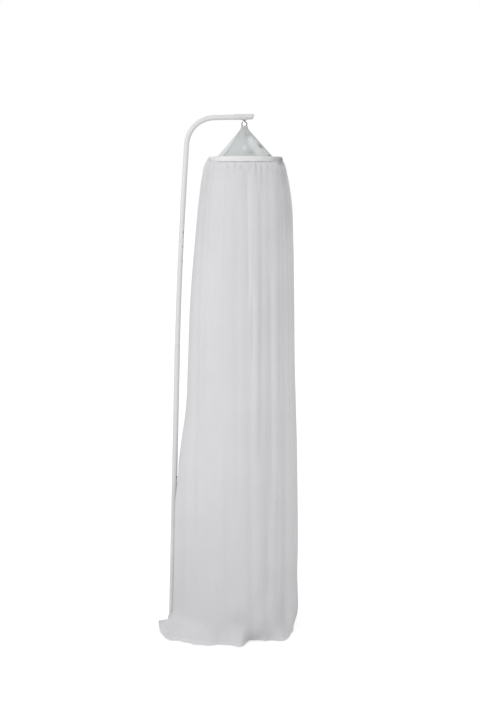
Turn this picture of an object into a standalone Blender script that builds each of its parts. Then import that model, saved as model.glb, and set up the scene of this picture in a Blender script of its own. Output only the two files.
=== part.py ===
"""A mosquito net canopy that hangs from the bent arm of its floor stand.

Metres, +Z up. The origin is where the pole meets the floor, under the base plate. +X runs along
the arm, and -Y is the side where the skirt's deep fold shows.
"""

import math

import bpy
import numpy as np

GAP = 0.0003
SHARP_EDGE = math.radians(40)

# Stand: two round tubes. The upper one bows a little under its load and is bent over into an arm.
LOWER_RADIUS = 0.0095
UPPER_RADIUS = 0.0088
TUBE_WALL = 0.0009
TUBE_SIDES = 20
LOWER_SLOPE = 0.0258
UPPER_SLOPE = 0.0305
UPPER_BOW = 0.0285
BOW_STEPS = 7
JOINT_HEIGHT = 0.998
JOINT_SLIT = 0.0015
BEAD = 0.0005
BEAD_LENGTH = 0.003
SHOULDER = 0.0008
SHOULDER_INSIDE = 0.004
NECK_RADIUS = 0.0074
NECK_LENGTH = 0.055
BEND_HEIGHT = 1.6952
BEND_RADIUS = 0.0955
BEND_STEPS = 10
ARM_LEAN = math.radians(88.5)
ARM_TUBE_END = 0.278

# Adjustment holes in the upper tube, and the snap button in the lower one
HOLE_RADIUS = 0.0025
HOLE_HEIGHTS = (1.292, 1.342, 1.392)
HOLE_TURN = math.radians(-38)
DRILL_REACH = 0.02
BUTTON_HEIGHT = 0.531
BUTTON_RADIUS = 0.0026
BUTTON_HOLE_RADIUS = 0.0031
BUTTON_TURN = math.radians(-30)
BUTTON_PROFILE = (
    # out from the tube's surface, share of the button's radius
    (-0.0050, 1.00),
    (0.0006, 1.00),
    (0.0016, 0.75),
    (0.0020, 0.35),
)

# Foot
PLATE_THICKNESS = 0.005
PLATE_LEFT = -0.013
PLATE_RIGHT = 0.299
PLATE_HALF_DEPTH = 0.101
PLATE_CORNER = 0.085
CORNER_POINTS = 10
SOCKET_RADIUS = 0.0125
SOCKET_BORE = 0.0104
SOCKET_TOP = 0.026
FITTING_SIDES = 24

# End of the arm
SLEEVE_START = 0.2244
SLEEVE_TIP = 0.2919
SLEEVE_RADIUS = 0.0098
SLEEVE_BORE = 0.0092
SLEEVE_CHAMFER = 0.0003
SLEEVE_SLANT = math.radians(16)
SLEEVE_NOSE = (
    # back from the tip, inset from the sleeve's radius
    (0.0070, 0.0000),
    (0.0035, 0.0008),
    (0.0015, 0.0026),
    (0.0008, 0.0050),
)
SADDLE_START = 0.2487
SADDLE_END = 0.2666
SADDLE_THICKNESS = 0.0013
SADDLE_GAP = 0.0005
SADDLE_HALF_WRAP = math.radians(95)
SADDLE_POINTS = 15

# Hook under the arm, and the cord loop over its foot
HOOK_X = 0.2586
HOOK_WIRE = 0.0016
HOOK_BOTTOM = 1.7530
HOOK_HALF_WIDTH = 0.0088
HOOK_SHANK = 0.0019
HOOK_START_DEG = 90
HOOK_END_DEG = -232
HOOK_POINTS = 34
NUT_RADIUS = 0.0045
NUT_BORE = 0.0027
NUT_HEIGHT = 0.0022
LOOP_WIRE = 0.0013
LOOP_HALF_WIDTH = 0.0038
LOOP_BOTTOM = 1.7371
LOOP_POINTS = 9
LOOP_REST = 0.0004

# Canopy: roof, band with its hoop, and skirt, all round one upright axis
CANOPY_X = 0.2603
HOOP_RADIUS = 0.1257
HOOP_WIRE = 0.0018
HOOP_HEIGHT = 1.6367
BAND_BOTTOM = 1.6317
BAND_STEPS = 48
ROOF_THICKNESS = 0.0012
ROOF_STEPS = 40
SKIRT_THICKNESS = 0.002
SKIRT_STEPS = 96
GATHER_RUN = 0.05
POLE_CLEARANCE = 0.0035
PLATE_CLEARANCE = 0.0028
PLATE_MARGIN = 0.016
PLATE_LIFT_RUN = 0.018
PLATE_LIFT_TOP = 0.060

# The band's section: out from the hoop's own circle, and up from the band's bottom edge
BAND_SECTION = (
    # out, up
    (0.0038, 0.0000),
    (0.0038, 0.0155),
    (0.0028, 0.0179),
    (0.0000, 0.0190),
    (-0.0028, 0.0179),
    (-0.0038, 0.0155),
    (-0.0038, 0.0040),
    (-0.0022, 0.0005),
    (0.0000, -0.0003),
    (0.0000, 0.0010),
    (-0.0014, 0.0019),
    (-0.0023, 0.0045),
    (-0.0023, 0.0150),
    (0.0000, 0.0174),
    (0.0023, 0.0150),
    (0.0023, 0.0000),
)

# The roof's slope, from the gathered tip down to the inside of the band
ROOF_SLOPE = (
    # radius, height
    (0.0098, 1.7556),
    (0.0106, 1.7520),
    (0.0124, 1.7470),
    (0.0158, 1.7416),
    (0.0477, 1.7056),
    (0.0976, 1.6500),
    (0.1115, 1.6406),
    (0.1200, 1.6371),
)

# Creases that run down the roof: where each one is round the axis, and how deep and wide
ROOF_CREASES = (
    # angle, depth, half width
    (18, 0.004, 9),
    (62, 0.005, 11),
    (104, 0.004, 9),
    (146, 0.005, 10),
    (181, 0.003, 9),
    (216, 0.007, 8),
    (248, 0.002, 10),
    (284, 0.003, 10),
    (318, 0.007, 8),
    (343, 0.004, 7),
)

# Half widths of the skirt to its left, right, front and back at each height. Low down the pole
# stops it on the left.
SKIRT_SECTIONS = (
    # height, left, right, front, back
    (1.6310, 0.1295, 0.1295, 0.1295, 0.1295),
    (1.6203, 0.1368, 0.1364, 0.1365, 0.1365),
    (1.5885, 0.1451, 0.1453, 0.1415, 0.1415),
    (1.5029, 0.1578, 0.1605, 0.1498, 0.1498),
    (1.3437, 0.1738, 0.1684, 0.1563, 0.1543),
    (1.1561, 0.1891, 0.1717, 0.1610, 0.1570),
    (0.9588, 0.1974, 0.1746, 0.1617, 0.1587),
    (0.7742, 0.2062, 0.1804, 0.1614, 0.1593),
    (0.6503, 0.2235, 0.1840, 0.1608, 0.1598),
    (0.4736, 0.2448, 0.1868, 0.1604, 0.1614),
    (0.2850, 0.2457, 0.1881, 0.1600, 0.1620),
    (0.1585, 0.2463, 0.1872, 0.1604, 0.1635),
    (0.0790, 0.2467, 0.1901, 0.1617, 0.1648),
)

# Below the last section the cloth goes over to the hem's own outline on the floor
SKIRT_FOOT = (
    # height, share of the way to the hem's outline
    (0.0560, 0.07),
    (0.0400, 0.24),
    (0.0260, 0.50),
    (0.0140, 0.77),
    (0.0060, 0.94),
    (0.0022, 1.00),
)

# Reach of the hem from the canopy's axis: a flap in front of the pole, a notch in front
HEM_OUTLINE = (
    # angle, reach
    (0, 0.1718),
    (22, 0.1821),
    (46, 0.1965),
    (70, 0.1715),
    (96, 0.1795),
    (121, 0.1950),
    (146, 0.2380),
    (163, 0.2620),
    (178, 0.2404),
    (184, 0.2414),
    (188, 0.3070),
    (194, 0.3045),
    (202, 0.2993),
    (207, 0.2913),
    (212, 0.2625),
    (221, 0.2422),
    (232, 0.2158),
    (243, 0.1851),
    (255, 0.1761),
    (265, 0.1835),
    (277, 0.1360),
    (286, 0.1402),
    (301, 0.1597),
    (315, 0.1926),
    (333, 0.1828),
    (347, 0.1752),
)

# Main folds of the skirt: troughs that run from the gathered top to the hem
SKIRT_FOLDS = (
    # angle at the top, angle at the hem, depth at the top, depth at the hem, half width
    (8, 10, 0.004, 0.007, 6),
    (37, 33, 0.005, 0.010, 7),
    (62, 60, 0.003, 0.008, 6),
    (88, 91, 0.005, 0.011, 7),
    (117, 114, 0.004, 0.009, 6),
    (144, 147, 0.004, 0.010, 7),
    (167, 165, 0.003, 0.006, 6),
    (207, 210, 0.003, 0.007, 6),
    (232, 229, 0.004, 0.008, 7),
    (251, 250, 0.003, 0.006, 6),
    (271, 280, 0.007, 0.005, 5),
    (302, 299, 0.004, 0.007, 6),
    (322, 325, 0.005, 0.009, 6),
    (346, 343, 0.003, 0.006, 6),
)

# The flap's back corner turns up beside the pole
FLAP_ANGLE = 188
FLAP_HALF_WIDTH = 6
FLAP_HEIGHT = 0.028

# Soft edge of the skirt that lies in front of the pole
POLE_LIP_ANGLE = 188
POLE_LIP_HALF_WIDTH = 5
POLE_LIP = 0.013
POLE_LIP_TOP = 0.588
POLE_LIP_FULL = 0.421


def clear_scene():
    for item in list(bpy.data.objects):
        bpy.data.objects.remove(item, do_unlink=True)


def finish(name, colour, roughness, metallic=0.0):
    material = bpy.data.materials.new(name)
    material.use_nodes = True
    shader = material.node_tree.nodes["Principled BSDF"]
    shader.inputs["Base Color"].default_value = (*colour, 1.0)
    shader.inputs["Roughness"].default_value = roughness
    shader.inputs["Metallic"].default_value = metallic
    material.diffuse_color = (*colour, 1.0)
    return material


def place(name, data, material):
    data.materials.append(material)
    item = bpy.data.objects.new(name, data)
    bpy.context.scene.collection.objects.link(item)
    return item


def mesh_piece(name, points, faces, material):
    mesh = bpy.data.meshes.new(name)
    mesh.from_pydata([tuple(point) for point in points], [], faces)
    mesh.shade_smooth()
    mesh.set_sharp_from_angle(angle=SHARP_EDGE)
    return place(name, mesh, material)


def loft(name, rings, material, joined):
    """Rings of equal count, one after the other. joined runs the last into the first, for a wall."""
    rings = np.asarray(rings)
    count = rings.shape[1]
    index = np.arange(len(rings) * count).reshape(-1, count)
    onward = np.vstack((index, index[:1])) if joined else index
    here, after = onward[:-1], onward[1:]
    quads = (here, np.roll(here, -1, axis=1), np.roll(after, -1, axis=1), after)
    faces = np.stack(quads, axis=-1).reshape(-1, 4).tolist()
    if not joined:
        faces += [index[0, ::-1].tolist(), index[-1].tolist()]
    return mesh_piece(name, rings.reshape(-1, 3), faces, material)


def sheet(name, rows, thickness, material, closed):
    """A grid of rows, top to bottom and turning left, with its wall added on the inner side."""
    count = rows.shape[1]
    index = np.arange(len(rows) * count).reshape(-1, count)
    beside = np.roll(index, -1, axis=1) if closed else index[:, 1:]
    index = index if closed else index[:, :-1]
    quads = (index[:-1], index[1:], beside[1:], beside[:-1])
    faces = np.stack(quads, axis=-1).reshape(-1, 4).tolist()
    item = mesh_piece(name, rows.reshape(-1, 3), faces, material)
    wall = item.modifiers.new("Wall", "SOLIDIFY")
    wall.thickness = thickness
    wall.offset = -1
    return item


def wire(name, points, radius, material, closed):
    curve = bpy.data.curves.new(name, "CURVE")
    curve.dimensions = "3D"
    curve.bevel_depth = radius
    curve.bevel_resolution = 2
    curve.use_fill_caps = True
    spline = curve.splines.new("POLY")
    spline.points.add(len(points) - 1)
    spline.points.foreach_set("co", np.column_stack((points, np.ones(len(points)))).ravel())
    spline.use_cyclic_u = closed
    return place(name, curve, material)


def peg(name, start, direction, profile, material):
    """A turned piece: profile holds distances along its axis with the radius at each."""
    side = np.cross((0.0, 0.0, 1.0), direction)
    lift = np.cross(direction, side)
    angle = np.linspace(0, math.tau, TUBE_SIDES, endpoint=False)
    circle = np.outer(np.cos(angle), side) + np.outer(np.sin(angle), lift)
    rings = [start + distance * direction + radius * circle for distance, radius in profile]
    return loft(name, rings, material, joined=False)


def ring(centre, lean, radius, sides=TUBE_SIDES):
    """A circle square to a direction in the XZ plane, lean from +Z towards +X."""
    angle = np.linspace(0, math.tau, sides, endpoint=False)
    across = np.array((math.cos(lean), 0.0, -math.sin(lean)))
    deep = np.array((0.0, 1.0, 0.0))
    return centre + radius * (np.outer(np.cos(angle), across) + np.outer(np.sin(angle), deep))


def along(start, lean, distance):
    return start + distance * np.array((math.sin(lean), 0.0, math.cos(lean)))


def outward(turn):
    return np.array((math.cos(turn), math.sin(turn), 0.0))


def pole_axis(height):
    """The pole's centre at a height: straight up to the joint, then in a slight bow."""
    low = min(height, JOINT_HEIGHT)
    high = max(height - JOINT_HEIGHT, 0.0)
    x = low * LOWER_SLOPE + high * UPPER_SLOPE + high * high * UPPER_BOW
    return np.array((x, 0.0, height))


def upper_lean(height):
    """How far the upper tube leans at a height."""
    return math.atan(UPPER_SLOPE + 2 * UPPER_BOW * (height - JOINT_HEIGHT))


def bend_point(lean):
    """Centre of the tube in its bend, where it leans by that much."""
    start_lean = upper_lean(BEND_HEIGHT)
    across = BEND_RADIUS * (math.cos(start_lean) - math.cos(lean))
    up = BEND_RADIUS * (math.sin(lean) - math.sin(start_lean))
    return pole_axis(BEND_HEIGHT) + (across, 0.0, up)


def arm_axis(x):
    end = bend_point(ARM_LEAN)
    return np.array((x, 0.0, end[2] + (x - end[0]) / math.tan(ARM_LEAN)))


def upper_path(first):
    """Centres and leans of the upper tube's rings: bowed pole, bend, and arm."""
    heights = np.linspace(first, BEND_HEIGHT, BOW_STEPS + 1)[:-1]
    leans = np.linspace(upper_lean(BEND_HEIGHT), ARM_LEAN, BEND_STEPS + 1)
    bow = [(pole_axis(height), upper_lean(height)) for height in heights]
    bend = [(bend_point(lean), lean) for lean in leans]
    return bow + bend + [(arm_axis(ARM_TUBE_END), ARM_LEAN)]


def smooth(value):
    part = np.clip(value, 0.0, 1.0)
    return part * part * (3 - 2 * part)


def turned_from(angle, centre):
    """Degrees from centre to angle, the short way round."""
    return (angle - centre + 180) % 360 - 180


def outline(angle, table):
    """The closed curve through a table of angles and reaches, level at each row."""
    stops = np.array([row[0] for row in table] + [table[0][0] + 360])
    reaches = np.array([row[1] for row in table] + [table[0][1]])
    row = np.searchsorted(stops, angle % 360, side="right") - 1
    part = smooth((angle % 360 - stops[row]) / (stops[row + 1] - stops[row]))
    return reaches[row] + (reaches[row + 1] - reaches[row]) * part


def cut_holes(tube, heights, radius, turn):
    """Round holes through one wall of a tube, from its axis out."""
    for number, height in enumerate(heights):
        profile = ((0.0, radius), (DRILL_REACH, radius))
        drill = peg(f"{tube.name}_drill_{number}", pole_axis(height), outward(turn), profile, None)
        drill.hide_render = True
        drill.display_type = "WIRE"
        hole = tube.modifiers.new(f"Hole {number}", "BOOLEAN")
        hole.object = drill


def make_base(paint):
    """A flat plate with round corners that lies on the floor, and the socket the pole stands in."""
    corners = (
        (PLATE_LEFT + PLATE_CORNER, PLATE_CORNER - PLATE_HALF_DEPTH),
        (PLATE_RIGHT - PLATE_CORNER, PLATE_CORNER - PLATE_HALF_DEPTH),
        (PLATE_RIGHT - PLATE_CORNER, PLATE_HALF_DEPTH - PLATE_CORNER),
        (PLATE_LEFT + PLATE_CORNER, PLATE_HALF_DEPTH - PLATE_CORNER),
    )
    rim = []
    for number, centre in enumerate(corners):
        turn = np.radians(np.linspace(180, 270, CORNER_POINTS) + 90 * number)
        rim.append(centre + PLATE_CORNER * np.column_stack((np.cos(turn), np.sin(turn))))
    rim = np.vstack(rim)
    rings = [np.column_stack((rim, np.full(len(rim), z))) for z in (0.0, PLATE_THICKNESS)]
    loft("base_plate", rings, paint, joined=False)

    x = pole_axis(SOCKET_TOP / 2)[0]
    low, high = PLATE_THICKNESS + GAP, SOCKET_TOP
    stations = ((low, SOCKET_RADIUS), (high, SOCKET_RADIUS), (high, SOCKET_BORE), (low, SOCKET_BORE))
    rings = [ring((x, 0.0, z), 0.0, radius, FITTING_SIDES) for z, radius in stations]
    loft("base_socket", rings, paint, joined=True)


def make_lower_tube(paint, steel):
    """A straight tube whose neck, swaged thinner, goes into the upper tube."""
    lean = math.atan(LOWER_SLOPE)
    neck_lean = upper_lean(JOINT_HEIGHT)
    foot = pole_axis(PLATE_THICKNESS + 2 * GAP)
    shoulder = pole_axis(JOINT_HEIGHT)
    neck_start = along(shoulder, neck_lean, SHOULDER)
    neck_end = along(shoulder, neck_lean, NECK_LENGTH)
    rings = [
        ring(foot, lean, LOWER_RADIUS),
        ring(along(shoulder, lean, -SHOULDER), lean, LOWER_RADIUS),
        ring(shoulder, lean, LOWER_RADIUS - SHOULDER),
        ring(neck_start, neck_lean, NECK_RADIUS),
        ring(neck_end, neck_lean, NECK_RADIUS),
        ring(neck_end, neck_lean, NECK_RADIUS - TUBE_WALL),
        ring(neck_start, neck_lean, NECK_RADIUS - TUBE_WALL),
        ring(along(shoulder, lean, -SHOULDER_INSIDE), lean, LOWER_RADIUS - TUBE_WALL),
        ring(foot, lean, LOWER_RADIUS - TUBE_WALL),
    ]
    tube = loft("lower_tube", rings, paint, joined=True)
    cut_holes(tube, (BUTTON_HEIGHT,), BUTTON_HOLE_RADIUS, BUTTON_TURN)
    profile = [(LOWER_RADIUS + out, BUTTON_RADIUS * share) for out, share in BUTTON_PROFILE]
    peg("snap_button", pole_axis(BUTTON_HEIGHT), outward(BUTTON_TURN), profile, steel)


def make_upper_tube(paint):
    """The tube above the joint, with a small rolled bead at its mouth, bent over into the arm."""
    lean = upper_lean(JOINT_HEIGHT)
    mouth = along(pole_axis(JOINT_HEIGHT), lean, JOINT_SLIT)
    bead_end = along(mouth, lean, BEAD_LENGTH)
    bead_edge = along(bead_end, lean, BEAD)
    path = upper_path(bead_edge[2])[1:]
    bore = UPPER_RADIUS - TUBE_WALL
    outer = [
        ring(mouth, lean, UPPER_RADIUS + BEAD),
        ring(bead_end, lean, UPPER_RADIUS + BEAD),
        ring(bead_edge, lean, UPPER_RADIUS),
    ]
    outer += [ring(centre, at, UPPER_RADIUS) for centre, at in path]
    inner = [ring(centre, at, bore) for centre, at in reversed(path)]
    tube = loft("upper_tube", outer + inner + [ring(mouth, lean, bore)], paint, joined=True)
    cut_holes(tube, HOLE_HEIGHTS, HOLE_RADIUS, HOLE_TURN)


def make_arm_end(plastic):
    """The sleeve closes the arm's end, a little slanted, and the saddle clips on under it."""
    stations = [
        # along X, lean, radius
        (ARM_TUBE_END + 3 * GAP, ARM_LEAN, SLEEVE_BORE),
        (SLEEVE_START, ARM_LEAN, SLEEVE_BORE),
        (SLEEVE_START, ARM_LEAN, SLEEVE_RADIUS - SLEEVE_CHAMFER),
        (SLEEVE_START + SLEEVE_CHAMFER, ARM_LEAN, SLEEVE_RADIUS),
    ]
    stations += [
        (SLEEVE_TIP - back, ARM_LEAN + SLEEVE_SLANT, SLEEVE_RADIUS - inset)
        for back, inset in SLEEVE_NOSE
    ]
    rings = [ring(arm_axis(x), lean, radius, FITTING_SIDES) for x, lean, radius in stations]
    loft("arm_end_sleeve", rings, plastic, joined=False)

    wrap = np.linspace(SADDLE_HALF_WRAP, -SADDLE_HALF_WRAP, SADDLE_POINTS)
    radius = saddle_radius()
    edges = []
    for x in (SADDLE_START, SADDLE_END):
        height = arm_axis(x)[2] - radius * np.cos(wrap)
        edges.append(np.column_stack((np.full(SADDLE_POINTS, x), radius * np.sin(wrap), height)))
    sheet("hook_saddle", np.array(edges), SADDLE_THICKNESS, plastic, closed=False)


def saddle_radius():
    return SLEEVE_RADIUS + SADDLE_GAP + SADDLE_THICKNESS


def make_hook(steel, cord):
    """An open wire hook in the plane of the arm, its nut, and the net's cord loop over its foot."""
    nut_top = arm_axis(HOOK_X)[2] - saddle_radius() - 2 * GAP
    nut_low = nut_top - NUT_HEIGHT
    stations = ((nut_low, NUT_RADIUS), (nut_top, NUT_RADIUS), (nut_top, NUT_BORE), (nut_low, NUT_BORE))
    rings = [ring((HOOK_X, 0.0, z), 0.0, radius, sides=6) for z, radius in stations]
    loft("hook_nut", rings, steel, joined=True)

    crown = nut_low - HOOK_SHANK
    half_height = (crown - HOOK_BOTTOM) / 2
    turn = np.radians(np.linspace(HOOK_START_DEG, HOOK_END_DEG, HOOK_POINTS))
    bow_x = HOOK_X + HOOK_HALF_WIDTH * np.cos(turn)
    bow_z = HOOK_BOTTOM + half_height * (1 + np.sin(turn))
    bow = np.column_stack((bow_x, np.zeros(HOOK_POINTS), bow_z))
    stem = ((HOOK_X, 0.0, nut_top - GAP), (HOOK_X, 0.0, nut_low))
    wire("net_hook", np.vstack((stem, bow[1:])), HOOK_WIRE, steel, closed=False)

    top = HOOK_BOTTOM + HOOK_WIRE + LOOP_REST + LOOP_WIRE
    over = np.radians(np.linspace(0, 180, LOOP_POINTS))
    y = LOOP_HALF_WIDTH * np.cos(over)
    rise = LOOP_HALF_WIDTH * np.sin(over)
    x = np.full(LOOP_POINTS, HOOK_X)
    upper_half = np.column_stack((x, y, top - LOOP_HALF_WIDTH + rise))
    lower_half = np.column_stack((x, -y, LOOP_BOTTOM + LOOP_HALF_WIDTH - rise))
    wire("hanging_loop", np.vstack((upper_half, lower_half)), LOOP_WIRE, cord, closed=True)


def make_band(cloth, plastic):
    """The hoop, and the cloth band folded round it with a slit along its lower seam."""
    angle = np.linspace(0, 360, BAND_STEPS, endpoint=False)
    hoop = around_canopy(angle, HOOP_RADIUS, HOOP_HEIGHT)
    wire("hoop", hoop, HOOP_WIRE, plastic, closed=True)
    rings = [around_canopy(angle, HOOP_RADIUS + out, BAND_BOTTOM + up) for out, up in BAND_SECTION]
    loft("hoop_band", rings, cloth, joined=True)


def around_canopy(angle, reach, height):
    turn = np.radians(angle)
    x, y = CANOPY_X + reach * np.cos(turn), reach * np.sin(turn)
    return np.column_stack((x, y, np.full(len(angle), height)))


def crease_depth(angle):
    """Depth of the roof's creases at each angle: soft troughs, each its own depth and width."""
    depth = np.zeros_like(angle)
    for centre, deep, half_width in ROOF_CREASES:
        depth += deep * np.exp(-((turned_from(angle, centre) / half_width) ** 2))
    return depth


def make_roof(cloth):
    """A cone of net from the tip, which is drawn up under the hook, to the band."""
    angle = np.linspace(0, 360, ROOF_STEPS, endpoint=False)
    tip_radius, foot_radius = ROOF_SLOPE[0][0], ROOF_SLOPE[-1][0]
    rows = []
    for radius, height in ROOF_SLOPE:
        share = (radius - tip_radius) / (foot_radius - tip_radius)
        row = around_canopy(angle, radius - math.sin(math.pi * share) * crease_depth(angle), height)
        row[:, 0] += (HOOK_X - CANOPY_X) * (1 - share)
        rows.append(row)
    sheet("roof_panel", np.array(rows), ROOF_THICKNESS, cloth, closed=True)


def skirt_reach(angle, height, left, right, front, back):
    """Distance from the axis to a section made of four quarter ellipses, stopped by the pole."""
    turn = np.radians(angle)
    stop = CANOPY_X - pole_axis(height)[0] - LOWER_RADIUS - POLE_CLEARANCE
    half_x = np.where(np.cos(turn) < 0, min(left, stop), right)
    half_y = np.where(np.sin(turn) < 0, front, back)
    reach = 1 / np.hypot(np.cos(turn) / half_x, np.sin(turn) / half_y)
    lip = POLE_LIP * smooth((POLE_LIP_TOP - height) / (POLE_LIP_TOP - POLE_LIP_FULL))
    beside = turned_from(angle, POLE_LIP_ANGLE) / POLE_LIP_HALF_WIDTH
    return reach + lip * np.exp(-beside**2)


def fold_depth(angle, height):
    """Depth of the skirt's main folds. Each drifts a little on its way down from the band."""
    top = SKIRT_SECTIONS[0][0]
    down = (top - height) / top
    depth = np.zeros_like(angle)
    for top_angle, hem_angle, top_depth, hem_depth, half_width in SKIRT_FOLDS:
        centre = top_angle + (hem_angle - top_angle) * down
        deep = top_depth + (hem_depth - top_depth) * down
        depth += deep * np.exp(-((turned_from(angle, centre) / half_width) ** 2))
    return depth * smooth((top - height) / GATHER_RUN)


def plate_lift(points):
    """How far the plate holds the cloth off the floor, falling to nothing past a margin round it."""
    half_length = (PLATE_RIGHT - PLATE_LEFT) / 2
    past_x = np.abs(points[:, 0] - PLATE_LEFT - half_length) - half_length + PLATE_CORNER
    past_y = np.abs(points[:, 1]) - PLATE_HALF_DEPTH + PLATE_CORNER
    beyond = np.hypot(np.maximum(past_x, 0.0), np.maximum(past_y, 0.0)) - PLATE_CORNER
    return (PLATE_THICKNESS + PLATE_CLEARANCE) * smooth(1 - (beyond - PLATE_MARGIN) / PLATE_LIFT_RUN)


def make_skirt(cloth):
    """One loop of net: sections down to the ankle, then the foot that spreads to the hem."""
    angle = np.linspace(0, 360, SKIRT_STEPS, endpoint=False)
    hem = outline(angle, HEM_OUTLINE)
    rows = []
    for height, *half_widths in SKIRT_SECTIONS:
        ankle = skirt_reach(angle, height, *half_widths) - fold_depth(angle, height)
        rows.append(around_canopy(angle, ankle, height))
    flap = np.exp(-((turned_from(angle, FLAP_ANGLE) / FLAP_HALF_WIDTH) ** 2))
    for height, share in SKIRT_FOOT:
        row = around_canopy(angle, ankle + (hem - ankle) * share, height)
        row[:, 2] += plate_lift(row) * (1 - height / PLATE_LIFT_TOP)
        row[:, 2] += np.maximum(FLAP_HEIGHT - row[:, 2], 0.0) * flap * share
        rows.append(row)
    sheet("skirt", np.array(rows), SKIRT_THICKNESS, cloth, closed=True)


def main():
    clear_scene()
    paint = finish("white_paint", (0.82, 0.82, 0.82), 0.35)
    plastic = finish("white_plastic", (0.80, 0.80, 0.80), 0.45)
    steel = finish("steel", (0.42, 0.42, 0.43), 0.35, 1.0)
    net = finish("net", (0.80, 0.80, 0.82), 0.9)
    band = finish("band_cloth", (0.88, 0.88, 0.88), 0.85)
    cord = finish("cord", (0.75, 0.75, 0.75), 0.9)
    make_base(paint)
    make_lower_tube(paint, steel)
    make_upper_tube(paint)
    make_arm_end(plastic)
    make_hook(steel, cord)
    make_band(band, plastic)
    make_roof(net)
    make_skirt(net)


main()
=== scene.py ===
import math

import bpy
import numpy as np
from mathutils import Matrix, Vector


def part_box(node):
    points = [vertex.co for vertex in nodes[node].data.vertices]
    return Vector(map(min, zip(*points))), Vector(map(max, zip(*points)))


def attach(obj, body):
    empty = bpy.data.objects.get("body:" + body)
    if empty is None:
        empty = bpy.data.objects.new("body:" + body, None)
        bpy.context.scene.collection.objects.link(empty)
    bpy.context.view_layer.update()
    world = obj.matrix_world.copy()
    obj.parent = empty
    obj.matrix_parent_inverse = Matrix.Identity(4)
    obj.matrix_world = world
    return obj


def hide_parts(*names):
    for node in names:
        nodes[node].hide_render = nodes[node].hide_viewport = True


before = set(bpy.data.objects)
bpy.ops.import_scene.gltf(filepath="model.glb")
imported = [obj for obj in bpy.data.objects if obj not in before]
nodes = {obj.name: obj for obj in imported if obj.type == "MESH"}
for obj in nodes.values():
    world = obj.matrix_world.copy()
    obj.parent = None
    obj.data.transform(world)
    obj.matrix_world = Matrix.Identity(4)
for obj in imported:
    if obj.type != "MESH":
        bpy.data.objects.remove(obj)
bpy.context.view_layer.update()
print("frame loaded:", len(nodes), "parts")

bandLow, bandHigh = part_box("hoop_band")
hoopLow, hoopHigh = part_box("hoop")
plateLow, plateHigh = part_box("base_plate")
hookLow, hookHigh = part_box("net_hook")
canopyX = (bandLow.x + bandHigh.x) / 2  # upright axis of the canopy
bandOuter = (bandHigh.x - bandLow.x) / 2
hoopMiddle = (hoopHigh.x - hoopLow.x) / 2 - (hoopHigh.z - hoopLow.z) / 2


# Camera and light

view = {
    "place": (0.2437, -3.3, 1.5643),
    "downTilt": 4.183,  # degrees below level
    "lens": 47.85,
    "sensor": 36.0,
    "shift": -0.15,
}

studio = {
    "floorSize": 90.0,
    "floorColour": (0.62, 0.62, 0.625),
    "floorGlow": 0.56,  # only as the camera sees it, so that it doesn't light the net from below
    "skyShown": 1.0,  # the white seen behind the object
    "skyLight": 0.80,  # the same sky as a soft light
    "keyPlace": (-2.4, -2.6, 2.3),
    "keyAim": (0.25, 0.0, 0.95),
    "keySize": 2.2,
    "keyPower": 47.5,
    "fillPlace": (1.6, -3.0, 0.6),
    "fillSize": 2.4,
    "fillPower": 21.5,
}


def addNode(tree, kind, inputs=None, **settings):
    # One shader node. A socket among the inputs is linked, anything else is set as a value.
    made = tree.nodes.new(kind)
    for name, value in settings.items():
        setattr(made, name, value)
    for name, value in (inputs or {}).items():
        if isinstance(value, bpy.types.NodeSocket):
            tree.links.new(value, made.inputs[name])
        else:
            made.inputs[name].default_value = value
    return made


def calc(tree, operation, first, second=0.0, clamped=False):
    inputs = {0: first, 1: second}
    return addNode(tree, "ShaderNodeMath", inputs, operation=operation, use_clamp=clamped).outputs[0]


def spread(tree, value, low, high, lowest=0.0, highest=1.0):
    # A value between low and high, carried over to lowest and highest with soft ends.
    inputs = {"Value": value, "From Min": low, "From Max": high, "To Min": lowest, "To Max": highest}
    return addNode(tree, "ShaderNodeMapRange", inputs, interpolation_type="SMOOTHSTEP").outputs[0]


def blendColour(tree, share, first, second):
    inputs = {0: share, 6: first, 7: second}
    return addNode(tree, "ShaderNodeMix", inputs, data_type="RGBA").outputs[2]


def addLight(name, place, target, size, power):
    lamp = bpy.data.lights.new(name, "AREA")
    lamp.size = size
    lamp.energy = power
    item = bpy.data.objects.new(name, lamp)
    item.location = place
    item.rotation_euler = (Vector(target) - Vector(place)).to_track_quat("-Z", "Y").to_euler()
    bpy.context.scene.collection.objects.link(item)


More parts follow.
